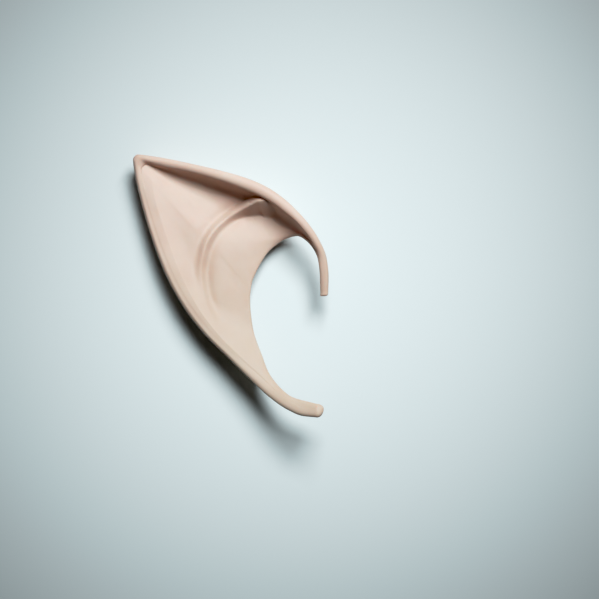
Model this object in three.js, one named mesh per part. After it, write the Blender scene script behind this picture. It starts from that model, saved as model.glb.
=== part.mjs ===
// Slip-on elf ear tip, moulded in one piece from soft latex and worn on the right ear.
// It lies on its back: X runs from the tip to the wearer's face, Y up to the top of the ear,
// and Z out of the visible face. Lengths are in millimetres and angles in radians.

import * as THREE from 'three';

// Overall sizes
const earWidth = 62;
const earLength = 82.5;
const earDepth = 22;

// The latex skin, and the rounding of its trimmed edges
const skinThickness = 1.2;
const trimRounding = 0.6;

// How far the back sheet usually ends short of the front sheet's cut-out edge
const backSetBack = 4;

// The rolled rim: its usual width, how far it stands up for its width, and its overhang
const rimWidth = 3.3;
const rimCrown = 0.45;
const rimOverhang = 0.3;

// The curved fold across the front sheet. Its root climbs the hollow wall to the rim:
// how steep the root's sides are, its rounding, and how softly it blends into the wall.
const foldHeight = 1.2;
const foldWidth = 2.8;
const rootSteepness = 2;
const rootRounding = 0.8;
const rootBlend = 1.2;

// The rounded ends of the hook and of the tail, as far as they reach past the last section
const hookEndLength = 1.2;
const tailEndLength = 2.1;

// The narrowest slot that the pocket closes down to behind the rim
const pocketSlot = 0.35;

// Distance between two sections along the rim, and the angle where an end is cut flat
const sectionStep = 2.6;
const endAngles = [0.5, 1.0, 1.35];

// Steps along the parts of a section, and along the close lines that they are chosen from.
// They crowd where a section bends: one radian counts for this much of its length.
const sectionSteps = { front: 26, roll: 6, outerWall: 5, pocketFloor: 5, pocketRoof: 12 };
const lineSteps = 90;
const bendLength = 3;

const latexColour = 0xdcc3b3;

// A table has named columns. The first is usually the place along the rim,
// from 0 at the end of the hook, over the tip at 0.44, to 1 at the end of the tail.
function makeTable(columns, rows) {
  return { columns, rows, places: rows.map((row) => row[0]) };
}

// Outline of the rim and of the cut-out edge opposite it, as shares of the ear's width and length
const planTable = makeTable(['place', 'rimX', 'rimY', 'edgeX', 'edgeY'], [
  [0.000, 0.998, 0.470, 0.957, 0.470],
  [0.026, 1.000, 0.530, 0.955, 0.528],
  [0.057, 0.989, 0.602, 0.946, 0.591],
  [0.088, 0.954, 0.666, 0.909, 0.649],
  [0.117, 0.905, 0.723, 0.839, 0.687],
  [0.148, 0.844, 0.776, 0.778, 0.676],
  [0.179, 0.773, 0.826, 0.731, 0.653],
  [0.215, 0.682, 0.872, 0.695, 0.630],
  [0.251, 0.581, 0.905, 0.670, 0.605],
  [0.337, 0.325, 0.957, 0.629, 0.549],
  [0.415, 0.087, 0.994, 0.605, 0.499],
  [0.435, 0.024, 1.000, 0.602, 0.483],
  [0.446, 0.000, 0.981, 0.600, 0.468],
  [0.473, 0.010, 0.920, 0.598, 0.448],
  [0.517, 0.040, 0.820, 0.599, 0.421],
  [0.630, 0.150, 0.568, 0.608, 0.356],
  [0.694, 0.240, 0.437, 0.617, 0.319],
  [0.758, 0.358, 0.317, 0.635, 0.277],
  [0.817, 0.486, 0.222, 0.664, 0.223],
  [0.872, 0.610, 0.132, 0.693, 0.168],
  [0.910, 0.700, 0.071, 0.752, 0.110],
  [0.949, 0.794, 0.025, 0.819, 0.073],
  [0.976, 0.868, 0.004, 0.884, 0.060],
  [1.000, 0.938, 0.000, 0.940, 0.051],
]);

// Height of the rim as a share of the ear's depth, its width as a share of the usual one,
// and how round its top is: 1 is a half round, and less is flatter
const rimTable = makeTable(['place', 'crest', 'width', 'roundness'], [
  [0.000, 0.600, 0.62, 1.0],
  [0.057, 0.680, 0.68, 1.0],
  [0.088, 0.740, 0.72, 0.9],
  [0.117, 0.776, 0.76, 0.8],
  [0.148, 0.795, 0.88, 0.7],
  [0.179, 0.800, 1.14, 0.7],
  [0.251, 0.764, 1.34, 0.7],
  [0.337, 0.682, 1.22, 0.7],
  [0.415, 0.573, 1.38, 0.8],
  [0.446, 0.512, 1.24, 1.0],
  [0.517, 0.474, 1.35, 1.2],
  [0.630, 0.512, 1.35, 1.2],
  [0.758, 0.554, 1.15, 1.2],
  [0.872, 0.650, 0.86, 1.0],
  [0.949, 0.845, 0.82, 1.0],
  [1.000, 1.000, 0.77, 1.0],
]);

// Front sheet: how far its groove lies from the rim, as a share of the way to the cut-out,
// and the heights of groove, outer hollow, inner hollow and cut-out edge, as shares of the depth
const sheetTable = makeTable(['place', 'grooveAt', 'groove', 'outer', 'inner', 'edge'], [
  [0.000, 0.10, 0.577, 0.573, 0.565, 0.550],
  [0.057, 0.10, 0.656, 0.650, 0.640, 0.622],
  [0.088, 0.45, 0.622, 0.612, 0.592, 0.562],
  [0.117, 0.62, 0.468, 0.450, 0.425, 0.400],
  [0.148, 0.53, 0.409, 0.392, 0.365, 0.325],
  [0.179, 0.42, 0.355, 0.350, 0.340, 0.295],
  [0.215, 0.27, 0.335, 0.330, 0.330, 0.290],
  [0.251, 0.18, 0.340, 0.325, 0.340, 0.300],
  [0.290, 0.17, 0.315, 0.318, 0.355, 0.316],
  [0.337, 0.17, 0.300, 0.318, 0.375, 0.335],
  [0.377, 0.14, 0.325, 0.338, 0.388, 0.340],
  [0.415, 0.10, 0.385, 0.375, 0.400, 0.345],
  [0.435, 0.10, 0.450, 0.405, 0.406, 0.345],
  [0.446, 0.10, 0.482, 0.420, 0.408, 0.345],
  [0.473, 0.10, 0.488, 0.420, 0.409, 0.345],
  [0.517, 0.11, 0.484, 0.415, 0.410, 0.345],
  [0.630, 0.12, 0.521, 0.440, 0.414, 0.350],
  [0.694, 0.12, 0.540, 0.478, 0.432, 0.370],
  [0.758, 0.12, 0.558, 0.525, 0.480, 0.414],
  [0.817, 0.14, 0.592, 0.573, 0.546, 0.508],
  [0.872, 0.20, 0.637, 0.625, 0.607, 0.586],
  [0.949, 0.12, 0.830, 0.821, 0.807, 0.790],
  [1.000, 0.12, 0.985, 0.976, 0.962, 0.945],
]);

// Fold, from its root at the rim to its lower end: its line as shares of width and length,
// its rise and the valleys outside and inside it as shares of the fold's height,
// and how high its root stands as a share of the depth
const foldTable = makeTable(['along', 'x', 'y', 'rise', 'outerValley', 'innerValley', 'root'], [
  [0.000, 0.799, 0.798, 0.00, 0.00, 0.00, 0.640],
  [0.078, 0.727, 0.818, 0.00, 0.00, 0.00, 0.680],
  [0.154, 0.655, 0.820, 0.00, 0.00, 0.00, 0.680],
  [0.203, 0.602, 0.805, 0.50, 0.40, 0.50, 0.560],
  [0.254, 0.553, 0.789, 1.00, 0.95, 1.00, 0.440],
  [0.330, 0.492, 0.762, 1.10, 1.15, 1.15, 0.360],
  [0.443, 0.415, 0.709, 1.00, 1.00, 1.05, 0.250],
  [0.570, 0.364, 0.634, 0.80, 0.60, 1.00, 0.100],
  [0.697, 0.346, 0.547, 0.45, 0.10, 0.90, 0.100],
  [0.836, 0.363, 0.449, 0.15, 0.00, 0.70, 0.100],
  [0.916, 0.393, 0.395, 0.05, 0.00, 0.35, 0.100],
  [1.000, 0.434, 0.341, 0.00, 0.00, 0.00, 0.100],
]);

// Back: its heights at its trimmed edge and at its heel as shares of the depth, where the heel is
// as a share of the section's width, how far it ends short of the cut-out as a share of the usual set-back,
// and how far the pocket is opened up behind the front sheet
const backTable = makeTable(['place', 'height', 'heelHeight', 'heel', 'setBack', 'pocket'], [
  [0.000, 0.405, 0.415, 0.40, 0.08, 0.00],
  [0.057, 0.466, 0.486, 0.39, 0.09, 0.00],
  [0.088, 0.442, 0.520, 0.50, 0.08, 0.00],
  [0.117, 0.330, 0.520, 0.43, 0.13, 0.00],
  [0.148, 0.250, 0.400, 0.40, 0.28, 0.00],
  [0.179, 0.060, 0.120, 0.43, 0.55, 0.75],
  [0.215, 0.000, 0.000, 0.44, 0.85, 1.00],
  [0.337, 0.000, 0.000, 0.36, 1.00, 1.00],
  [0.446, 0.000, 0.000, 0.26, 1.00, 1.00],
  [0.517, 0.000, 0.000, 0.24, 1.00, 1.00],
  [0.630, 0.000, 0.000, 0.30, 1.00, 1.00],
  [0.758, 0.000, 0.000, 0.44, 0.75, 1.00],
  [0.817, 0.110, 0.110, 0.44, 0.40, 0.80],
  [0.872, 0.340, 0.340, 0.45, 0.17, 0.35],
  [0.949, 0.640, 0.640, 0.34, 0.10, 0.00],
  [1.000, 0.809, 0.809, 0.34, 0.10, 0.00],
]);

function mix(from, to, share) {
  return from + (to - from) * share;
}

function evenShares(from, to, count) {
  return Array.from({ length: count + 1 }, (_, step) => mix(from, to, step / count));
}

// Slope of a column at a row, chosen so that the curve never overshoots between two rows
function slopeAt(places, values, row) {
  const before = Math.max(row - 1, 0);
  const after = Math.min(row + 1, places.length - 1);
  if (before === row || after === row) {
    return (values[after] - values[before]) / (places[after] - places[before]);
  }
  const stepBefore = places[row] - places[before];
  const stepAfter = places[after] - places[row];
  const riseBefore = (values[row] - values[before]) / stepBefore;
  const riseAfter = (values[after] - values[row]) / stepAfter;
  if (riseBefore * riseAfter <= 0) return 0;
  const weightBefore = 2 * stepAfter + stepBefore;
  const weightAfter = stepAfter + 2 * stepBefore;
  return (weightBefore + weightAfter) / (weightBefore / riseBefore + weightAfter / riseAfter);
}

// Value between the rows, on a smooth curve through them
function smoothValue(places, values, place) {
  const last = places.length - 1;
  const inside = Math.min(Math.max(place, places[0]), places[last]);
  let row = 0;
  while (row < last - 1 && places[row + 1] < inside) row += 1;
  const step = places[row + 1] - places[row];
  const share = (inside - places[row]) / step;
  const slopeFrom = slopeAt(places, values, row) * step;
  const slopeTo = slopeAt(places, values, row + 1) * step;
  const rise = values[row + 1] - values[row];
  const square = share * share;
  const cube = square * share;
  return values[row] + rise * (3 * square - 2 * cube)
    + slopeFrom * (cube - 2 * square + share) + slopeTo * (cube - square);
}

// All columns of a table at one place
function readTable(table, place) {
  const entries = {};
  table.columns.forEach((column, index) => {
    const values = table.rows.map((row) => row[index]);
    entries[column] = smoothValue(table.places, values, place);
  });
  return entries;
}

// The fold's line in the plan, in short steps, with its heights
const foldLine = evenShares(0, 1, 60).map((along) => {
  const fold = readTable(foldTable, along);
  return {
    point: new THREE.Vector2(fold.x * earWidth, fold.y * earLength),
    rise: fold.rise * foldHeight,
    outerValley: fold.outerValley * foldHeight,
    innerValley: fold.innerValley * foldHeight,
    root: fold.root * earDepth,
  };
});

// Angle that a line turns by at one of its points, measured over a few points to both sides
function turnAt(line, index) {
  const reach = 3;
  const before = line[Math.max(index - reach, 0)];
  const after = line[Math.min(index + reach, line.length - 1)];
  const here = line[index];
  const arriving = new THREE.Vector2(here[0] - before[0], here[1] - before[1]);
  const leaving = new THREE.Vector2(after[0] - here[0], after[1] - here[1]);
  return Math.abs(Math.atan2(arriving.cross(leaving), arriving.dot(leaving))) / reach;
}

// A given number of steps along a line of close points, shorter where the line bends
function spreadPoints(line, count) {
  const run = [0];
  line.slice(1).forEach((point, index) => {
    const before = line[index];
    const length = Math.hypot(point[0] - before[0], point[1] - before[1]);
    run.push(run[index] + length + bendLength * turnAt(line, index));
  });
  let segment = 0;
  return evenShares(0, run[run.length - 1], count).map((place) => {
    while (segment < line.length - 2 && run[segment + 1] < place) segment += 1;
    const step = run[segment + 1] - run[segment];
    const share = step > 0 ? Math.min(1, (place - run[segment]) / step) : 0;
    return [0, 1].map((axis) => mix(line[segment][axis], line[segment + 1][axis], share));
  });
}

// Every size of the section at one place. A section lies upright over the line
// from the outline to the cut-out: its first coordinate runs along that line, its second is the height.
function sectionSizes(place) {
  const plan = readTable(planTable, place);
  const rim = readTable(rimTable, place);
  const sheet = readTable(sheetTable, place);
  const back = readTable(backTable, place);
  const start = new THREE.Vector2(plan.rimX * earWidth, plan.rimY * earLength);
  const end = new THREE.Vector2(plan.edgeX * earWidth, plan.edgeY * earLength);
  const direction = end.clone().sub(start).normalize();
  const width = start.distanceTo(end);
  const roll = rim.width * rimWidth;
  const crest = rim.crest * earDepth;
  const rollFoot = crest - roll * rimCrown;
  const grooveHeight = sheet.groove * earDepth;
  const innerFoot = Math.max(rollFoot, mix(grooveHeight, crest, 0.3));
  const groove = mix(roll, width, sheet.grooveAt);
  return {
    start,
    direction,
    width,
    roll,
    roundness: rim.roundness,
    crest,
    rollFoot,
    innerFoot,
    overhang: rimOverhang * Math.min(1, Math.max(0, innerFoot - grooveHeight) / rimWidth),
    groove,
    grooveHeight,
    outerHeight: sheet.outer * earDepth,
    innerHeight: sheet.inner * earDepth,
    edgeHeight: sheet.edge * earDepth,
    edgeRadius: Math.min(trimRounding, 0.4 * (width - groove)),
    backHeight: back.height * earDepth,
    heelHeight: back.heelHeight * earDepth,
    heel: back.heel * width,
    mouth: width - back.setBack * backSetBack,
    pocket: back.pocket,
  };
}

// The place on the fold's line that is nearest to a point of the plan, and on which side the point is
function nearestOnFold(point) {
  let nearest = { distance: Infinity };
  foldLine.slice(1).forEach((next, index) => {
    const spot = foldLine[index];
    const step = next.point.clone().sub(spot.point);
    const gap = point.clone().sub(spot.point);
    const share = Math.min(Math.max(gap.dot(step) / step.lengthSq(), 0), 1);
    const distance = gap.clone().addScaledVector(step, -share).length();
    if (distance >= nearest.distance) return;
    const valley = step.cross(gap) < 0 ? 'outerValley' : 'innerValley';
    nearest = {
      distance,
      rise: mix(spot.rise, next.rise, share),
      valley: mix(spot[valley], next[valley], share),
      root: mix(spot.root, next.root, share),
    };
  });
  return nearest;
}

// Points of a section's front with the fold added. It runs out at the groove, apart from its root.
function addFold(sizes, points) {
  return points.map(([across, bare]) => {
    const point = sizes.start.clone().addScaledVector(sizes.direction, across);
    const fold = nearestOnFold(point);
    const spread = (2 * fold.distance / foldWidth) ** 2;
    const runOut = Math.min(1, Math.max(0, 2 * (across - sizes.groove) / foldWidth));
    const height = bare + runOut * (fold.rise - fold.valley * spread) * Math.exp(-spread / 2);
    const ridge = fold.root - rootSteepness * (Math.hypot(fold.distance, rootRounding) - rootRounding);
    const closeness = Math.max(0, 1 - Math.abs(height - ridge) / rootBlend);
    return [across, Math.max(height, ridge) + 0.25 * rootBlend * closeness ** 2];
  });
}

// Height of the front sheet between its groove and the cut-out, without the fold
function sheetHeight(sizes, across) {
  const share = (across - sizes.groove) / (sizes.width - sizes.groove);
  const heights = [sizes.grooveHeight, sizes.outerHeight, sizes.innerHeight, sizes.edgeHeight];
  return smoothValue([0, 0.3, 0.65, 1], heights, share);
}

// Close points over the front: from the cut-out edge over the fold to the groove,
// then up the hollow wall to just below the rolled rim
function frontLine(sizes) {
  const sheet = evenShares(sizes.width - sizes.edgeRadius, sizes.groove, lineSteps)
    .map((across) => [across, sheetHeight(sizes, across)]);
  const foot = [sizes.groove, sizes.grooveHeight];
  const top = [sizes.roll - sizes.overhang, sizes.innerFoot - sizes.overhang];
  const bend = [mix(top[0], foot[0], 0.25), mix(foot[1], top[1], 0.1)];
  const wall = evenShares(0, 1, lineSteps / 2).slice(1).map((share) => {
    const rest = 1 - share;
    return [0, 1].map((axis) => (
      rest * rest * foot[axis] + 2 * rest * share * bend[axis] + share * share * top[axis]
    ));
  });
  return addFold(sizes, [...sheet, ...wall]);
}

// Points over the rolled rim, from its inner line to the outline.
// Where nothing overhangs, the inner half runs out softly into the front sheet.
function rimRoll(sizes, fineness) {
  const points = [];
  const count = sectionSteps.roll * fineness;
  const softness = mix(2, sizes.roundness, sizes.overhang / rimOverhang);
  for (let step = 0; step < count; step += 1) {
    const angle = Math.PI * step / count;
    const across = 0.5 * sizes.roll * (1 + Math.cos(angle));
    const isInner = step < 0.5 * count;
    const foot = isInner ? sizes.innerFoot : sizes.rollFoot;
    const rise = Math.sin(angle) ** (isInner ? softness : sizes.roundness);
    points.push([across, mix(foot, sizes.crest, rise)]);
  }
  return addFold(sizes, points);
}

// Points down the bulging outer wall and along the back to its trimmed edge
function outerWall(sizes, fineness) {
  const points = [];
  const count = sectionSteps.outerWall * fineness;
  for (let step = 0; step <= count; step += 1) {
    const angle = 0.5 * Math.PI * step / count;
    const across = sizes.heel * (1 - Math.cos(angle));
    points.push([across, mix(sizes.rollFoot, sizes.heelHeight, Math.sin(angle))]);
  }
  points.push([sizes.mouth - sizes.edgeRadius, sizes.backHeight]);
  return points;
}

// The same line with points close enough together to measure the skin's thickness from
function closeSpaced(line) {
  const spacing = 0.25 * skinThickness;
  return line.slice(1).flatMap((point, index) => {
    const before = line[index];
    const length = Math.hypot(point[0] - before[0], point[1] - before[1]);
    return evenShares(0, 1, Math.max(1, Math.ceil(length / spacing))).map((share) => (
      [mix(before[0], point[0], share), mix(before[1], point[1], share)]
    ));
  });
}

// Height of the pocket's skin: the skin's thickness below or above a face, measured square to it
function skinInside(face, across, side) {
  const heights = face
    .filter((point) => Math.abs(point[0] - across) < skinThickness)
    .map((point) => point[1] * side + Math.sqrt(skinThickness ** 2 - (point[0] - across) ** 2));
  return side * Math.max(...heights);
}

// Points of the pocket's skin, from the back's edge into the pocket and out to the front edge
function pocketSkin(sizes) {
  const fineness = 4;
  const front = closeSpaced([...frontLine(sizes), ...rimRoll(sizes, fineness)]);
  const back = closeSpaced(outerWall(sizes, fineness));
  const mouth = sizes.mouth - sizes.edgeRadius;
  const edge = sizes.width - sizes.edgeRadius;
  const roof = (across) => skinInside(front, across, -1);
  const floor = (across) => skinInside(back, across, 1);
  const isOpen = (across) => roof(across) - floor(across) > pocketSlot;
  let depth = mouth;
  while (depth > 2 * skinThickness && isOpen(depth - skinThickness)) depth -= skinThickness;
  let stride = skinThickness;
  for (let halving = 0; halving < 5; halving += 1) {
    stride *= 0.5;
    if (depth - stride > skinThickness && isOpen(depth - stride)) depth -= stride;
  }
  depth = mix(mouth, depth, sizes.pocket);
  const heightsAt = (across) => {
    const middle = 0.5 * (roof(across) + floor(across));
    const half = 0.5 * Math.max(roof(across) - floor(across), pocketSlot);
    return { low: middle - half, high: middle + half };
  };
  const floorLine = evenShares(mouth, depth, lineSteps).map((across) => [across, heightsAt(across).low]);
  const roofLine = evenShares(depth, edge, lineSteps)
    .map((across) => [across, across > mouth ? roof(across) : heightsAt(across).high]);
  return [
    ...spreadPoints(floorLine, sectionSteps.pocketFloor),
    ...spreadPoints(roofLine, sectionSteps.pocketRoof),
  ];
}

// Half round of a trimmed edge, turning from one angle to another
function trimmedEdge(across, height, radius, fromAngle, toAngle) {
  return evenShares(fromAngle, toAngle, 3).map((angle) => (
    [across + radius * Math.cos(angle), height + radius * Math.sin(angle)]
  ));
}

// Closed outline of one section. Where the pocket is shut, a straight inner side takes its place.
function sectionLoop(sizes) {
  const radius = sizes.edgeRadius;
  const quarter = 0.5 * Math.PI;
  const turn = quarter * sizes.pocket;
  const frontCentre = [sizes.width - radius, sizes.edgeHeight - radius];
  const backCentre = [sizes.mouth - radius, sizes.backHeight + radius];
  const backEdge = trimmedEdge(...backCentre, radius, -quarter, turn);
  const frontEdge = trimmedEdge(...frontCentre, radius, -turn, quarter);
  const skin = pocketSkin(sizes).slice(1, -1);
  const from = backEdge[backEdge.length - 1];
  const to = frontEdge[0];
  const opened = Math.min(1, 2 * sizes.pocket);
  const inside = skin.map((point, index) => {
    const share = (index + 1) / (skin.length + 1);
    return [0, 1].map((axis) => mix(mix(from[axis], to[axis], share), point[axis], opened));
  });
  return [
    ...spreadPoints(frontLine(sizes), sectionSteps.front),
    ...rimRoll(sizes, 1),
    ...outerWall(sizes, 1).slice(0, -1),
    ...backEdge,
    ...inside,
    ...frontEdge.slice(0, -1),
  ];
}

// Places of the sections: each step of the plan is divided by its length along the rim
function sectionPlaces() {
  const places = [0];
  planTable.rows.slice(1).forEach((row, index) => {
    const before = planTable.rows[index];
    const length = Math.hypot((row[1] - before[1]) * earWidth, (row[2] - before[2]) * earLength);
    const count = Math.max(2, Math.round(length / sectionStep));
    evenShares(before[0], row[0], count).slice(1).forEach((place) => places.push(place));
  });
  return places;
}

// One section set into the ear, shrunk about its middle and moved along the rim
function placeSection(loop, sizes, shrink, shift) {
  const middle = [0, 1].map((axis) => loop.reduce((sum, point) => sum + point[axis], 0) / loop.length);
  return loop.map((point) => {
    const across = mix(middle[0], point[0], shrink);
    const height = mix(middle[1], point[1], shrink);
    const plan = sizes.start.clone().addScaledVector(sizes.direction, across).add(shift);
    return new THREE.Vector3(plan.x - earWidth / 2, plan.y - earLength / 2, height);
  });
}

// Sections that round off an end of the ear, from the last full one outwards
function roundedEnd(place, neighbour, length) {
  const sizes = sectionSizes(place);
  const loop = sectionLoop(sizes);
  const outwards = sizes.start.clone().sub(sectionSizes(neighbour).start).normalize();
  return endAngles.map((angle) => {
    const shift = outwards.clone().multiplyScalar(length * Math.sin(angle));
    return placeSection(loop, sizes, Math.cos(angle), shift);
  });
}

function averagePoint(points) {
  const sum = new THREE.Vector3();
  points.forEach((point) => sum.add(point));
  return sum.divideScalar(points.length);
}

// Skin over the sections, closed at both ends
function buildShell() {
  const places = sectionPlaces();
  const endStep = 0.01;
  const sections = places.map((place) => {
    const sizes = sectionSizes(place);
    return placeSection(sectionLoop(sizes), sizes, 1, new THREE.Vector2());
  });
  const hookEnd = roundedEnd(0, endStep, hookEndLength).reverse();
  const tailEnd = roundedEnd(1, 1 - endStep, tailEndLength);
  const rings = [...hookEnd, ...sections, ...tailEnd];
  const count = rings[0].length;
  const vertices = rings.flat();
  const faces = [];
  rings.slice(1).forEach((_, ring) => {
    for (let corner = 0; corner < count; corner += 1) {
      const next = (corner + 1) % count;
      const here = ring * count;
      const there = here + count;
      faces.push(here + corner, here + next, there + next);
      faces.push(here + corner, there + next, there + corner);
    }
  });
  const lastRing = (rings.length - 1) * count;
  const hookCentre = vertices.push(averagePoint(rings[0])) - 1;
  const tailCentre = vertices.push(averagePoint(rings[rings.length - 1])) - 1;
  for (let corner = 0; corner < count; corner += 1) {
    const next = (corner + 1) % count;
    faces.push(next, corner, hookCentre);
    faces.push(lastRing + corner, lastRing + next, tailCentre);
  }
  const geometry = new THREE.BufferGeometry().setFromPoints(vertices);
  geometry.setIndex(faces);
  geometry.computeVertexNormals();
  return geometry;
}

const latex = new THREE.MeshStandardMaterial({ color: latexColour, roughness: 0.6, metalness: 0 });
const earShell = new THREE.Mesh(buildShell(), latex);
earShell.name = 'ear_shell';

const ear = new THREE.Group();
ear.add(earShell);

export default ear;
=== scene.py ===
import math

import bpy
import numpy as np
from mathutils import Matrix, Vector


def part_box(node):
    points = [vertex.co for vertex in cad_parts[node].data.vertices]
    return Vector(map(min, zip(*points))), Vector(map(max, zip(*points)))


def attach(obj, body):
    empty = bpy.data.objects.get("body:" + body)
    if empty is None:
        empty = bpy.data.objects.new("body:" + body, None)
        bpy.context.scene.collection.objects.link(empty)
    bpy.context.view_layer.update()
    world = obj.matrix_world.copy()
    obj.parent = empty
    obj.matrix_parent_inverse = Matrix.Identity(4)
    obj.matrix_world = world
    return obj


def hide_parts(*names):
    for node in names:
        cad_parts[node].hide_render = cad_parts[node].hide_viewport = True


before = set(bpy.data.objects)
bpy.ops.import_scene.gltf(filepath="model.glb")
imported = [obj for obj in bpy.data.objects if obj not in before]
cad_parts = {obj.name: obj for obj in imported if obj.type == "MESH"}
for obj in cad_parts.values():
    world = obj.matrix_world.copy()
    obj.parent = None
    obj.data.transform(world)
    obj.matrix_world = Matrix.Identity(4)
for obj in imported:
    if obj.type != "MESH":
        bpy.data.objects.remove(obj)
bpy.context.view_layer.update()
print("frame loaded")

# The ear lies on its back: X to the wearer's face, Y to the top of the ear, Z to the camera.
low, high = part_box("ear_shell")
earWidth = high[0] - low[0]
earLength = high[1] - low[1]
earDepth = high[2] - low[2]

earShell = {
    "skin": 0.0012,          # thickness of the latex
    "trimRounding": 0.0006,
    "backSetBack": 0.004,    # how far the back sheet ends short of the cut-out edge
    "rimWidth": 0.0033,
    "rimCrown": 0.45,        # height of the rolled rim for its width
    "rimOverhang": 0.0003,
    "innerFoot": 0.3,        # lowest foot of the roll inside, as a share of the way down to the groove
    "wallBend": (0.25, 0.1), # where the hollow wall bends: outwards from its top and upwards from its foot
    "sheetKnots": (0, 0.3, 0.65, 1),   # places of the sheet's four heights between groove and cut-out
    "foldHeight": 0.0012,
    "foldWidth": 0.0028,
    "rootSteepness": 2.0,    # sides of the fold's root, where it climbs to the rim
    "rootRounding": 0.0008,
    "rootBlend": 0.0012,
    "hookEnd": 0.0012,
    "tailEnd": 0.0021,
    "pocketSlot": 0.00035,
    "sectionStep": 0.00055,  # distance between two sections along the rim
    "minSections": 3,        # fewest steps between two rows of the plan
    "bendLength": 0.003,     # points crowd where a section bends: one radian counts for this much length
    "detail": 4,             # how much finer a section is than the steps below
    "endSteps": 9,           # sections that round off an end, and the angle that they stop at
    "endAngle": 1.5,
    "hookSquareness": 4,     # 2 is a half round end, more is flatter
    "tailSquareness": 2,
}

# Steps along the parts of a section
sectionSteps = {
    "front": 26,
    "roll": 6,
    "outerWall": 5,
    "pocketFloor": 5,
    "pocketRoof": 12,
}

# Close points along the lines that the sections are worked out from
linePoints = {
    "fold": 121,
    "sheet": 700,
    "wall": 301,
    "pocketScan": 80,
    "pocketFloor": 200,
    "pocketRoof": 400,
    "trimmedEdge": 7,
}

# Each table starts with the place along the rim: 0 at the hook's end, 0.44 at the tip, 1 at the tail's end.
# Outline of the rim and of the cut-out edge opposite it, as shares of width and length.
planTable = [
    # place, rimX, rimY, edgeX, edgeY
    (0.000, 0.998, 0.470, 0.957, 0.470),
    (0.026, 1.000, 0.530, 0.955, 0.528),
    (0.057, 0.989, 0.602, 0.946, 0.591),
    (0.088, 0.954, 0.666, 0.909, 0.649),
    (0.117, 0.905, 0.723, 0.839, 0.687),
    (0.148, 0.844, 0.776, 0.778, 0.676),
    (0.179, 0.773, 0.826, 0.731, 0.653),
    (0.215, 0.682, 0.872, 0.695, 0.630),
    (0.251, 0.581, 0.905, 0.670, 0.605),
    (0.337, 0.325, 0.957, 0.629, 0.549),
    (0.415, 0.087, 0.994, 0.605, 0.499),
    (0.435, 0.024, 1.000, 0.602, 0.483),
    (0.446, 0.000, 0.981, 0.600, 0.468),
    (0.473, 0.010, 0.920, 0.598, 0.448),
    (0.517, 0.040, 0.820, 0.599, 0.421),
    (0.630, 0.150, 0.568, 0.608, 0.356),
    (0.694, 0.240, 0.437, 0.617, 0.319),
    (0.758, 0.358, 0.317, 0.635, 0.277),
    (0.817, 0.486, 0.222, 0.664, 0.223),
    (0.872, 0.610, 0.132, 0.693, 0.168),
    (0.910, 0.700, 0.071, 0.752, 0.110),
    (0.949, 0.794, 0.025, 0.819, 0.073),
    (0.976, 0.868, 0.004, 0.884, 0.060),
    (1.000, 0.938, 0.000, 0.940, 0.051),
]

# Height of the rim as a share of the depth, its width as a share of the usual one,
# and how round its top is: 1 is a half round, less is flatter
rimTable = [
    # place, crest, width, roundness
    (0.000, 0.600, 0.62, 1.0),
    (0.057, 0.680, 0.68, 1.0),
    (0.088, 0.740, 0.72, 0.9),
    (0.117, 0.776, 0.76, 0.8),
    (0.148, 0.795, 0.88, 0.7),
    (0.179, 0.800, 1.14, 0.7),
    (0.251, 0.764, 1.34, 0.7),
    (0.337, 0.682, 1.22, 0.7),
    (0.415, 0.573, 1.38, 0.8),
    (0.446, 0.512, 1.24, 1.0),
    (0.517, 0.474, 1.35, 1.2),
    (0.630, 0.512, 1.35, 1.2),
    (0.758, 0.554, 1.15, 1.2),
    (0.872, 0.650, 0.86, 1.0),
    (0.949, 0.845, 0.82, 1.0),
    (1.000, 1.000, 0.77, 1.0),
]

# Front sheet: where its groove lies between rim and cut-out, then four heights as shares of the depth
sheetTable = [
    # place, grooveAt, groove, outer, inner, edge
    (0.000, 0.10, 0.577, 0.573, 0.565, 0.550),
    (0.057, 0.10, 0.656, 0.650, 0.640, 0.622),
    (0.088, 0.45, 0.622, 0.612, 0.592, 0.562),
    (0.117, 0.62, 0.468, 0.450, 0.425, 0.400),
    (0.148, 0.53, 0.409, 0.392, 0.365, 0.325),
    (0.179, 0.42, 0.355, 0.350, 0.340, 0.295),
    (0.215, 0.27, 0.335, 0.330, 0.330, 0.290),
    (0.251, 0.18, 0.340, 0.325, 0.340, 0.300),
    (0.290, 0.17, 0.315, 0.318, 0.355, 0.316),
    (0.337, 0.17, 0.300, 0.318, 0.375, 0.335),
    (0.377, 0.14, 0.325, 0.338, 0.388, 0.340),
    (0.415, 0.10, 0.385, 0.375, 0.400, 0.345),
    (0.435, 0.10, 0.450, 0.405, 0.406, 0.345),
    (0.446, 0.10, 0.482, 0.420, 0.408, 0.345),
    (0.473, 0.10, 0.488, 0.420, 0.409, 0.345),
    (0.517, 0.11, 0.484, 0.415, 0.410, 0.345),
    (0.630, 0.12, 0.521, 0.440, 0.414, 0.350),
    (0.694, 0.12, 0.540, 0.478, 0.432, 0.370),
    (0.758, 0.12, 0.558, 0.525, 0.480, 0.414),
    (0.817, 0.14, 0.592, 0.573, 0.546, 0.508),
    (0.872, 0.20, 0.637, 0.625, 0.607, 0.586),
    (0.949, 0.12, 0.830, 0.821, 0.807, 0.790),
    (1.000, 0.12, 0.985, 0.976, 0.962, 0.945),
]

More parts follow.
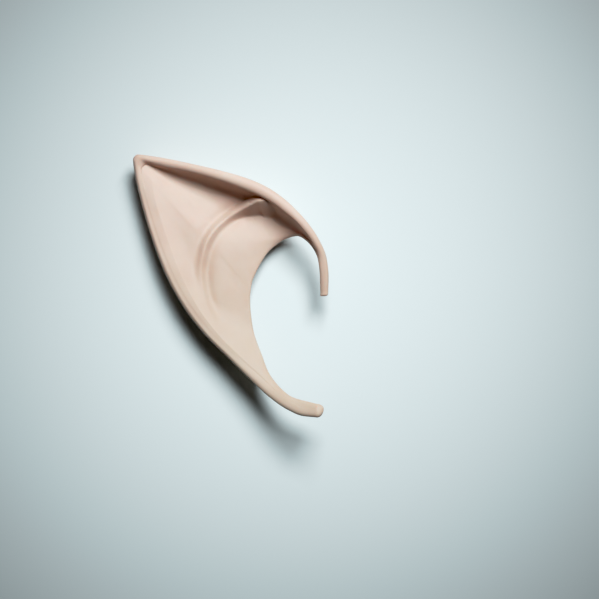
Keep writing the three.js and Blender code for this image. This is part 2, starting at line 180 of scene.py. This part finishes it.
# Curved fold, from its root at the rim to its lower end: its line as shares of width and length,
# its rise and the valleys outside and inside it as shares of the fold's height,
# and how high its root stands as a share of the depth
foldTable = [
    # along, x, y, rise, outerValley, innerValley, root
    (0.000, 0.799, 0.798, 0.00, 0.00, 0.00, 0.640),
    (0.078, 0.727, 0.818, 0.00, 0.00, 0.00, 0.680),
    (0.154, 0.655, 0.820, 0.00, 0.00, 0.00, 0.680),
    (0.203, 0.602, 0.805, 0.50, 0.40, 0.50, 0.560),
    (0.254, 0.553, 0.789, 1.00, 0.95, 1.00, 0.440),
    (0.330, 0.492, 0.762, 1.10, 1.15, 1.15, 0.360),
    (0.443, 0.415, 0.709, 1.00, 1.00, 1.05, 0.250),
    (0.570, 0.364, 0.634, 0.80, 0.60, 1.00, 0.100),
    (0.697, 0.346, 0.547, 0.45, 0.10, 0.90, 0.100),
    (0.836, 0.363, 0.449, 0.15, 0.00, 0.70, 0.100),
    (0.916, 0.393, 0.395, 0.05, 0.00, 0.35, 0.100),
    (1.000, 0.434, 0.341, 0.00, 0.00, 0.00, 0.100),
]

# Back: heights at its edge and heel as shares of the depth, heel as a share of the section's width,
# set-back as a share of the usual one, and how far the pocket is opened up
backTable = [
    # place, height, heelHeight, heel, setBack, pocket
    (0.000, 0.405, 0.415, 0.40, 0.08, 0.00),
    (0.057, 0.466, 0.486, 0.39, 0.09, 0.00),
    (0.088, 0.442, 0.520, 0.50, 0.08, 0.00),
    (0.117, 0.330, 0.520, 0.43, 0.13, 0.00),
    (0.148, 0.250, 0.400, 0.40, 0.28, 0.00),
    (0.179, 0.060, 0.120, 0.43, 0.55, 0.75),
    (0.215, 0.000, 0.000, 0.44, 0.85, 1.00),
    (0.337, 0.000, 0.000, 0.36, 1.00, 1.00),
    (0.446, 0.000, 0.000, 0.26, 1.00, 1.00),
    (0.517, 0.000, 0.000, 0.24, 1.00, 1.00),
    (0.630, 0.000, 0.000, 0.30, 1.00, 1.00),
    (0.758, 0.000, 0.000, 0.44, 0.75, 1.00),
    (0.817, 0.110, 0.110, 0.44, 0.40, 0.80),
    (0.872, 0.340, 0.340, 0.45, 0.17, 0.35),
    (0.949, 0.640, 0.640, 0.34, 0.10, 0.00),
    (1.000, 0.809, 0.809, 0.34, 0.10, 0.00),
]


def mix(start, end, share):
    return start + (end - start) * share


def smoothCurve(knots, values, at):
    # a curve through the knots that never overshoots between two of them
    knots = np.asarray(knots, float)
    values = np.asarray(values, float)
    at = np.clip(at, knots[0], knots[-1])
    step = np.diff(knots)
    rise = np.diff(values) / step
    before = rise[:-1]
    after = rise[1:]
    turns = before * after <= 0
    weightBefore = 2 * step[1:] + step[:-1]
    weightAfter = step[1:] + 2 * step[:-1]
    blend = weightBefore / np.where(turns, 1, before) + weightAfter / np.where(turns, 1, after)
    inner = np.where(turns, 0, (weightBefore + weightAfter) / np.where(turns, 1, blend))
    slope = np.concatenate([rise[:1], inner, rise[-1:]])
    row = np.clip(np.searchsorted(knots, at, side="right") - 1, 0, len(step) - 1)
    share = (at - knots[row]) / step[row]
    square = share * share
    cube = square * share
    return (values[row] + (values[row + 1] - values[row]) * (3 * square - 2 * cube)
            + slope[row] * step[row] * (cube - 2 * square + share)
            + slope[row + 1] * step[row] * (cube - square))


def readTable(table, places):
    rows = np.array(table)
    return [smoothCurve(rows[:, 0], column, places) for column in rows[:, 1:].T]


def sectionPlaces():
    # each stretch of the plan is divided by its length along the rim
    places = [0.0]
    for before, after in zip(planTable, planTable[1:]):
        length = math.hypot((after[1] - before[1]) * earWidth, (after[2] - before[2]) * earLength)
        count = max(earShell["minSections"], round(length / earShell["sectionStep"]))
        places += list(np.linspace(before[0], after[0], count + 1)[1:])
    return np.array(places)


def makeFoldLine():
    x, y, *heights = readTable(foldTable, np.linspace(0, 1, linePoints["fold"]))
    fullHeight = earShell["foldHeight"]
    rise, outerValley, innerValley = [share * fullHeight for share in heights[:3]]
    return {
        "x": low[0] + x * earWidth,
        "y": low[1] + y * earLength,
        "rise": rise,
        "outerValley": outerValley,
        "innerValley": innerValley,
        "root": heights[3] * earDepth,
    }


foldLine = makeFoldLine()


def spreadPoints(line, count):
    # steps along a line of close points, shorter where the line bends
    step = np.diff(line, axis=0)
    reach = 3
    rows = np.arange(len(line) - 1)
    arriving = line[rows] - line[np.maximum(rows - reach, 0)]
    leaving = line[np.minimum(rows + reach, len(line) - 1)] - line[rows]
    cross = arriving[:, 0] * leaving[:, 1] - arriving[:, 1] * leaving[:, 0]
    turn = np.abs(np.arctan2(cross, (arriving * leaving).sum(axis=1))) / reach
    weight = np.linalg.norm(step, axis=1) + earShell["bendLength"] * turn
    run = np.concatenate([[0], np.cumsum(weight)])
    places = np.linspace(0, run[-1], count + 1)
    return np.stack([np.interp(places, run, line[:, axis]) for axis in range(2)], axis=1)


def sectionSizes(places):
    rimX, rimY, edgeX, edgeY = readTable(planTable, places)
    crest, rimShare, roundness = readTable(rimTable, places)
    grooveAt, groove, outer, inner, edge = readTable(sheetTable, places)
    backHeight, heelHeight, heel, setBack, pocket = readTable(backTable, places)
    start = np.stack([low[0] + rimX * earWidth, low[1] + rimY * earLength], axis=1)
    end = np.stack([low[0] + edgeX * earWidth, low[1] + edgeY * earLength], axis=1)
    width = np.linalg.norm(end - start, axis=1)
    roll = rimShare * earShell["rimWidth"]
    rollFoot = crest * earDepth - roll * earShell["rimCrown"]
    innerFoot = np.maximum(rollFoot, mix(groove, crest, earShell["innerFoot"]) * earDepth)
    wallRise = np.clip((innerFoot - groove * earDepth) / earShell["rimWidth"], 0, 1)
    grooveAcross = mix(roll, width, grooveAt)
    along = (end - start) / width[:, None]
    columns = {
        "startX": start[:, 0],
        "startY": start[:, 1],
        "alongX": along[:, 0],
        "alongY": along[:, 1],
        "width": width,
        "roll": roll,
        "roundness": roundness,
        "crest": crest * earDepth,
        "rollFoot": rollFoot,
        "innerFoot": innerFoot,
        "overhang": earShell["rimOverhang"] * wallRise,
        "groove": grooveAcross,
        "grooveHeight": groove * earDepth,
        "outerHeight": outer * earDepth,
        "innerHeight": inner * earDepth,
        "edgeHeight": edge * earDepth,
        "edgeRadius": np.minimum(earShell["trimRounding"], 0.4 * (width - grooveAcross)),
        "backHeight": backHeight * earDepth,
        "heelHeight": heelHeight * earDepth,
        "heel": heel * width,
        "mouth": width - setBack * earShell["backSetBack"],
        "pocket": pocket,
    }
    return [{name: values[index] for name, values in columns.items()} for index in range(len(places))]


def besideFold(sizes, across):
    # distance from the fold's line, and its rise, valley and root height at the nearest place on it
    x = (sizes["startX"] + sizes["alongX"] * across)[:, None]
    y = (sizes["startY"] + sizes["alongY"] * across)[:, None]
    fromX, fromY = foldLine["x"][:-1], foldLine["y"][:-1]
    stepX, stepY = np.diff(foldLine["x"]), np.diff(foldLine["y"])
    share = np.clip(((x - fromX) * stepX + (y - fromY) * stepY) / (stepX ** 2 + stepY ** 2), 0, 1)
    gapX = x - fromX - share * stepX
    gapY = y - fromY - share * stepY
    distance = np.hypot(gapX, gapY)
    nearest = distance.argmin(axis=1)
    row = np.arange(len(nearest))
    place = nearest + share[row, nearest]
    spots = np.arange(len(foldLine["x"]))
    outside = stepX[nearest] * gapY[row, nearest] - stepY[nearest] * gapX[row, nearest] < 0
    rise = np.interp(place, spots, foldLine["rise"])
    valley = np.where(outside, np.interp(place, spots, foldLine["outerValley"]),
                      np.interp(place, spots, foldLine["innerValley"]))
    root = np.interp(place, spots, foldLine["root"])
    return distance[row, nearest], rise, valley, root


def addFold(sizes, points):
    # the fold runs out at the groove, apart from its root, which climbs the wall to the rim
    distance, rise, valley, root = besideFold(sizes, points[:, 0])
    spread = (2 * distance / earShell["foldWidth"]) ** 2
    runOut = np.clip(2 * (points[:, 0] - sizes["groove"]) / earShell["foldWidth"], 0, 1)
    height = points[:, 1] + runOut * (rise - valley * spread) * np.exp(-spread / 2)
    rounding = earShell["rootRounding"]
    ridge = root - earShell["rootSteepness"] * (np.hypot(distance, rounding) - rounding)
    closeness = np.clip(1 - np.abs(height - ridge) / earShell["rootBlend"], 0, 1)
    height = np.maximum(height, ridge) + 0.25 * earShell["rootBlend"] * closeness ** 2
    return np.stack([points[:, 0], height], axis=1)


def sheetHeight(sizes, across):
    share = (across - sizes["groove"]) / (sizes["width"] - sizes["groove"])
    heights = [sizes["grooveHeight"], sizes["outerHeight"], sizes["innerHeight"], sizes["edgeHeight"]]
    return smoothCurve(earShell["sheetKnots"], heights, share)


def frontLine(sizes):
    # close points from the cut-out edge over the fold to the groove, then up the hollow wall
    across = np.linspace(sizes["width"] - sizes["edgeRadius"], sizes["groove"], linePoints["sheet"])
    sheet = np.stack([across, sheetHeight(sizes, across)], axis=1)
    top = np.array([sizes["roll"] - sizes["overhang"], sizes["innerFoot"] - sizes["overhang"]])
    foot = np.array([sizes["groove"], sizes["grooveHeight"]])
    outwards, upwards = earShell["wallBend"]
    bend = np.array([mix(top[0], foot[0], outwards), mix(foot[1], top[1], upwards)])
    share = np.linspace(0, 1, linePoints["wall"])[1:, None]
    rest = 1 - share
    wall = rest * rest * foot + 2 * rest * share * bend + share * share * top
    return addFold(sizes, np.concatenate([sheet, wall]))


def rimRoll(sizes, detail):
    # over the rolled rim; where nothing overhangs, its inner half runs out softly
    angle = np.linspace(0, math.pi, sectionSteps["roll"] * detail, endpoint=False)
    across = 0.5 * sizes["roll"] * (1 + np.cos(angle))
    softness = mix(2, sizes["roundness"], sizes["overhang"] / earShell["rimOverhang"])
    innerHalf = angle < 0.5 * math.pi
    foot = np.where(innerHalf, sizes["innerFoot"], sizes["rollFoot"])
    rise = np.sin(angle) ** np.where(innerHalf, softness, sizes["roundness"])
    return addFold(sizes, np.stack([across, mix(foot, sizes["crest"], rise)], axis=1))


def outerWall(sizes, detail):
    # down the bulging outer wall and along the back to its trimmed edge
    angle = np.linspace(0, 0.5 * math.pi, sectionSteps["outerWall"] * detail + 1)
    wall = np.stack([sizes["heel"] * (1 - np.cos(angle)),
                     mix(sizes["rollFoot"], sizes["heelHeight"], np.sin(angle))], axis=1)
    share = np.linspace(0, 1, detail + 1)[1:]
    back = np.stack([mix(sizes["heel"], sizes["mouth"] - sizes["edgeRadius"], share),
                     mix(sizes["heelHeight"], sizes["backHeight"], share)], axis=1)
    return np.concatenate([wall, back])


def closeSpaced(line):
    # the same line with its points a quarter of the skin apart
    lengths = np.linalg.norm(np.diff(line, axis=0), axis=1)
    run = np.concatenate([[0], np.cumsum(lengths)])
    spots = np.linspace(0, run[-1], int(run[-1] / (0.25 * earShell["skin"])) + 2)
    return np.stack([np.interp(spots, run, line[:, axis]) for axis in range(2)], axis=1)


def skinInside(face, across, side):
    # height of the pocket's skin below (-1) or above (1) a face, measured square to it
    gap = face[:, 0][:, None] - np.atleast_1d(across)[None, :]
    reach = earShell["skin"] ** 2 - gap ** 2
    heights = np.where(reach > 0, face[:, 1][:, None] * side + np.sqrt(np.maximum(reach, 0)), -1)
    return side * heights.max(axis=0)


def pocketSkin(sizes, detail, frontFace):
    # from the back's edge into the pocket and out to the front edge
    front = closeSpaced(np.concatenate([frontFace, rimRoll(sizes, detail)]))
    back = closeSpaced(outerWall(sizes, detail))
    mouth = sizes["mouth"] - sizes["edgeRadius"]
    edge = sizes["width"] - sizes["edgeRadius"]
    scan = np.linspace(mouth, earShell["skin"], linePoints["pocketScan"])
    slot = earShell["pocketSlot"]
    opening = skinInside(front, scan, -1) - skinInside(back, scan, 1) - slot
    shut = np.nonzero(opening[1:] <= 0)[0]
    depth = scan[-1]
    if len(shut):
        first = shut[0]
        share = opening[first] / max(opening[first] - opening[first + 1], 1e-9)
        depth = mix(scan[first], scan[first + 1], min(max(share, 0), 1))
    depth = mix(mouth, depth, sizes["pocket"])

    def heightsAt(across):
        roof = skinInside(front, across, -1)
        floor = np.where(across > mouth, roof - slot, skinInside(back, np.minimum(across, mouth), 1))
        middle = 0.5 * (roof + floor)
        half = 0.5 * np.maximum(roof - floor, slot)
        return middle - half, middle + half

    floorAcross = np.linspace(mouth, depth, linePoints["pocketFloor"])
    roofAcross = np.linspace(depth, edge, linePoints["pocketRoof"])
    bottom = np.stack([floorAcross, heightsAt(floorAcross)[0]], axis=1)
    top = np.stack([roofAcross, heightsAt(roofAcross)[1]], axis=1)
    return np.concatenate([spreadPoints(bottom, sectionSteps["pocketFloor"] * detail),
                           spreadPoints(top, sectionSteps["pocketRoof"] * detail)])


def trimmedEdge(across, height, radius, fromAngle, toAngle):
    angle = np.linspace(fromAngle, toAngle, linePoints["trimmedEdge"])
    return np.stack([across + radius * np.cos(angle), height + radius * np.sin(angle)], axis=1)


def sectionLoop(sizes, detail):
    radius = sizes["edgeRadius"]
    quarter = 0.5 * math.pi
    turn = quarter * sizes["pocket"]
    frontEdge = trimmedEdge(sizes["width"] - radius, sizes["edgeHeight"] - radius, radius, -turn, quarter)
    backEdge = trimmedEdge(sizes["mouth"] - radius, sizes["backHeight"] + radius, radius, -quarter, turn)
    frontFace = frontLine(sizes)
    skin = pocketSkin(sizes, detail, frontFace)[1:-1]
    share = (np.arange(len(skin))[:, None] + 1) / (len(skin) + 1)
    inside = mix(mix(backEdge[-1], frontEdge[0], share), skin, min(1, 2 * sizes["pocket"]))
    return np.concatenate([
        spreadPoints(frontFace, sectionSteps["front"] * detail),
        rimRoll(sizes, detail),
        outerWall(sizes, detail)[:-1],
        backEdge,
        inside,
        frontEdge[:-1],
    ])


def placeSection(loop, sizes, shrink, shift):
    # one section set into the ear, shrunk about its middle and moved along the rim
    middle = loop.mean(axis=0)
    points = mix(middle, loop, shrink)
    return np.stack([sizes["startX"] + sizes["alongX"] * points[:, 0] + shift[0],
                     sizes["startY"] + sizes["alongY"] * points[:, 0] + shift[1],
                     low[2] + points[:, 1]], axis=1)


def roundedEnd(sizes, neighbour, length, squareness):
    # sections that close an end, from the last full one outwards
    loop = sectionLoop(sizes, earShell["detail"])
    outwards = np.array([sizes["startX"] - neighbour["startX"], sizes["startY"] - neighbour["startY"]])
    outwards /= np.linalg.norm(outwards)
    rings = []
    for angle in np.linspace(0, earShell["endAngle"], earShell["endSteps"] + 1)[1:]:
        share = math.sin(angle)
        shrink = (1 - share ** squareness) ** (1 / squareness)
        rings.append(placeSection(loop, sizes, shrink, outwards * length * share))
    return rings


def buildShell():
    sections = sectionSizes(sectionPlaces())
    rings = [placeSection(sectionLoop(sizes, earShell["detail"]), sizes, 1, (0, 0)) for sizes in sections]
    hookEnd = roundedEnd(sections[0], sections[2], earShell["hookEnd"], earShell["hookSquareness"])
    tailEnd = roundedEnd(sections[-1], sections[-3], earShell["tailEnd"], earShell["tailSquareness"])
    rings = hookEnd[::-1] + rings + tailEnd
    count = len(rings[0])
    points = np.concatenate(rings + [rings[0].mean(axis=0)[None], rings[-1].mean(axis=0)[None]])
    corner = np.arange(count)
    following = (corner + 1) % count
    faces = []
    for ring in range(len(rings) - 1):
        here = ring * count
        faces += np.stack([here + corner, here + following,
                           here + count + following, here + count + corner], axis=1).tolist()
    lastRing = (len(rings) - 1) * count
    hookCentre = len(rings) * count
    for first, second in zip(corner.tolist(), following.tolist()):
        faces.append([second, first, hookCentre])
        faces.append([lastRing + first, lastRing + second, hookCentre + 1])
    mesh = bpy.data.meshes.new("earSkin")
    mesh.from_pydata(points.tolist(), [], faces)
    mesh.shade_smooth()
    mesh.update()
    shell = bpy.data.objects.new("ear_skin", mesh)
    bpy.context.scene.collection.objects.link(shell)
    return shell


# Skin-coloured latex: soft and slightly mottled, pinker at the top and yellower towards the tail, where it
# is also painted darker as shade
latex = {
    "pink": ((0.655, 0.430, 0.350), (0.675, 0.460, 0.378), (0.695, 0.490, 0.405)),
    "sallowAndShade": ((0.575, 0.410, 0.318), (0.595, 0.435, 0.343), (0.615, 0.460, 0.368)),
    "pinkAbove": 0.020,      # Y where the pink has taken over, and where the sallow tone with its painted shade has
    "sallowBelow": -0.022,
    "mottleSize": 0.011,
    "mottleDetail": 5,
    "mottleStops": (0.32, 0.50, 0.68),
    "mottleRange": (0.3, 0.7),
    "roughness": (0.55, 0.68),
    "subsurface": 0.25,
    "bleed": (1.0, 0.45, 0.28),
    "bleedDepth": 0.0022,
    "sheen": 0.06,
    "sheenRoughness": 0.5,
    "bumpStrength": 0.25,
    "grainSize": 0.00035,
    "grainDetail": 3,
    "grainDepth": 0.00006,
    "rippleSize": 0.0045,    # slight unevenness left by the mould
    "rippleDetail": 1,
    "rippleDepth": 0.00030,
}


def addNode(tree, kind, **settings):
    node = tree.nodes.new(kind)
    for name, value in settings.items():
        setattr(node, name, value)
    return node


def makeLatex():
    material = bpy.data.materials.new("latexSkin")
    material.use_nodes = True
    tree = material.node_tree
    tree.nodes.clear()
    link = tree.links.new
    output = addNode(tree, "ShaderNodeOutputMaterial")
    shader = addNode(tree, "ShaderNodeBsdfPrincipled")
    link(shader.outputs["BSDF"], output.inputs["Surface"])
    coordinates = addNode(tree, "ShaderNodeTexCoord")

    def noiseAt(size, detail):
        texture = addNode(tree, "ShaderNodeTexNoise")
        texture.inputs["Scale"].default_value = 1 / size
        texture.inputs["Detail"].default_value = detail
        link(coordinates.outputs["Object"], texture.inputs["Vector"])
        return texture.outputs["Fac"]

    def rampOf(value, stops):
        ramp = addNode(tree, "ShaderNodeValToRGB")
        elements = ramp.color_ramp.elements
        elements.new(0.5)
        for element, (place, colour) in zip(elements, stops):
            element.position = place
            element.color = (*colour, 1)
        link(value, ramp.inputs["Fac"])
        return ramp.outputs["Color"]

    def mapped(value, fromRange, toRange):
        reach = addNode(tree, "ShaderNodeMapRange")
        reach.inputs["From Min"].default_value, reach.inputs["From Max"].default_value = fromRange
        reach.inputs["To Min"].default_value, reach.inputs["To Max"].default_value = toRange
        link(value, reach.inputs["Value"])
        return reach.outputs["Result"]

    def bumped(kind, below=None):
        bump = addNode(tree, "ShaderNodeBump")
        bump.inputs["Strength"].default_value = latex["bumpStrength"]
        bump.inputs["Distance"].default_value = latex[kind + "Depth"]
        link(noiseAt(latex[kind + "Size"], latex[kind + "Detail"]), bump.inputs["Height"])
        if below:
            link(below, bump.inputs["Normal"])
        return bump.outputs["Normal"]

    mottle = noiseAt(latex["mottleSize"], latex["mottleDetail"])
    stops = latex["mottleStops"]
    position = addNode(tree, "ShaderNodeSeparateXYZ")
    link(coordinates.outputs["Object"], position.inputs["Vector"])
    # painted shade: towards the tail the skin blends into the darker sallow tone
    tone = addNode(tree, "ShaderNodeMix", data_type="RGBA")     # sockets 6, 7 and 2 are its colours
    link(mapped(position.outputs["Y"], (latex["sallowBelow"], latex["pinkAbove"]), (0, 1)), tone.inputs[0])
    link(rampOf(mottle, zip(stops, latex["sallowAndShade"])), tone.inputs[6])
    link(rampOf(mottle, zip(stops, latex["pink"])), tone.inputs[7])
    link(tone.outputs[2], shader.inputs["Base Color"])

    link(bumped("grain", bumped("ripple")), shader.inputs["Normal"])
    link(mapped(mottle, latex["mottleRange"], latex["roughness"]), shader.inputs["Roughness"])
    shader.inputs["Subsurface Weight"].default_value = latex["subsurface"]
    shader.inputs["Subsurface Radius"].default_value = latex["bleed"]
    shader.inputs["Subsurface Scale"].default_value = latex["bleedDepth"]
    shader.inputs["Sheen Weight"].default_value = latex["sheen"]
    shader.inputs["Sheen Roughness"].default_value = latex["sheenRoughness"]
    return material


shell = buildShell()
shell.data.materials.append(makeLatex())
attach(shell, "root")
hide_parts("ear_shell")
print("ear built:", len(shell.data.vertices), "points")

# Surroundings: a pale floor with a pool of light painted on it, the camera over the picture's middle and
# soft light from the top
studio = {
    "cameraHeight": 0.5,
    "cameraAt": (0.0218, -0.0047),   # straight over the middle of the picture
    "focalPixels": 1547.7,
    "pictureWidth": 599,
    "sensorWidth": 36,
    "paintedPoolMiddle": (0.012, -0.018),  # middle of the painted pool of light, and the painted shade that greys the floor off from there
    "paintedPoolBright": (0.795, 0.85, 0.86),
    "paintedPoolDark": (0.14, 0.138, 0.138),
    "paintedPoolReach": 0.21,
    "floorSize": 3.0,
    "floorRoughness": 0.9,
    "floorSpecular": 0.2,
    "fillColour": (0.85, 0.95, 1.0),
    "fillStrength": 0.014,
}

keyLight = {
    "towards": (0.21, 0.60, 1),      # from the ear to the light
    "distance": 0.5,
    "energy": 3.75,
    "size": 0.21,
    "colour": (0.88, 0.98, 1.0),
}

# The picture's tones: darks slightly deepened, and the brightest held back as a camera does
grading = {
    "black": 0.02,
    "tones": ((0.15, 0.145), (0.40, 0.40), (0.60, 0.595)),
    "brightest": 0.86,
}


def makeFloor():
    half = studio["floorSize"] / 2
    mesh = bpy.data.meshes.new("floor")
    corners = [(-half, -half, 0), (half, -half, 0), (half, half, 0), (-half, half, 0)]
    mesh.from_pydata(corners, [], [(0, 1, 2, 3)])
    floor = bpy.data.objects.new("floor", mesh)
    bpy.context.scene.collection.objects.link(floor)
    material = bpy.data.materials.new("floorWithPaintedPool")
    material.use_nodes = True
    tree = material.node_tree
    shader = tree.nodes["Principled BSDF"]
    coordinates = addNode(tree, "ShaderNodeTexCoord")
    # painted light: the floor is palest at the pool's middle and painted darker with distance from it
    distance = addNode(tree, "ShaderNodeVectorMath", operation="DISTANCE")
    distance.inputs[1].default_value = (*studio["paintedPoolMiddle"], 0)
    tree.links.new(coordinates.outputs["Object"], distance.inputs[0])
    fade = addNode(tree, "ShaderNodeMapRange", interpolation_type="SMOOTHSTEP")
    fade.inputs["From Max"].default_value = studio["paintedPoolReach"]
    tree.links.new(distance.outputs["Value"], fade.inputs["Value"])
    ramp = addNode(tree, "ShaderNodeValToRGB")
    ramp.color_ramp.elements[0].color = (*studio["paintedPoolBright"], 1)
    ramp.color_ramp.elements[1].color = (*studio["paintedPoolDark"], 1)
    tree.links.new(fade.outputs["Result"], ramp.inputs["Fac"])
    tree.links.new(ramp.outputs["Color"], shader.inputs["Base Color"])
    shader.inputs["Roughness"].default_value = studio["floorRoughness"]
    shader.inputs["Specular IOR Level"].default_value = studio["floorSpecular"]
    mesh.materials.append(material)


def makeCamera():
    camera = bpy.data.cameras.new("camera")
    camera.sensor_width = studio["sensorWidth"]
    camera.lens = studio["sensorWidth"] * studio["focalPixels"] / studio["pictureWidth"]
    camera.clip_start = 0.01
    camera.clip_end = 20
    view = bpy.data.objects.new("camera", camera)
    view.location = (*studio["cameraAt"], studio["cameraHeight"])
    bpy.context.scene.collection.objects.link(view)
    bpy.context.scene.camera = view


def makeKeyLight():
    # a square soft box that looks back at the ear
    lamp = bpy.data.lights.new("keyLight", "AREA")
    lamp.energy = keyLight["energy"]
    lamp.color = keyLight["colour"]
    lamp.size = keyLight["size"]
    target = Vector((*studio["cameraAt"], 0))
    direction = Vector(keyLight["towards"]).normalized()
    light = bpy.data.objects.new("keyLight", lamp)
    light.location = target + direction * keyLight["distance"]
    light.rotation_euler = direction.to_track_quat("Z", "Y").to_euler()
    bpy.context.scene.collection.objects.link(light)


def makeWorld():
    world = bpy.data.worlds.new("studio")
    world.use_nodes = True
    background = world.node_tree.nodes["Background"]
    background.inputs["Color"].default_value = (*studio["fillColour"], 1)
    background.inputs["Strength"].default_value = studio["fillStrength"]
    bpy.context.scene.world = world


def setGrading():
    view = bpy.context.scene.view_settings
    view.view_transform = "Standard"
    view.use_curve_mapping = True
    view.curve_mapping.black_level = (grading["black"],) * 3
    brightness = view.curve_mapping.curves[3]
    for tone in grading["tones"]:
        brightness.points.new(*tone)
    brightness.points[-1].location = (1.0, grading["brightest"])
    view.curve_mapping.update()


makeFloor()
makeCamera()
makeKeyLight()
makeWorld()
setGrading()
print("studio built")
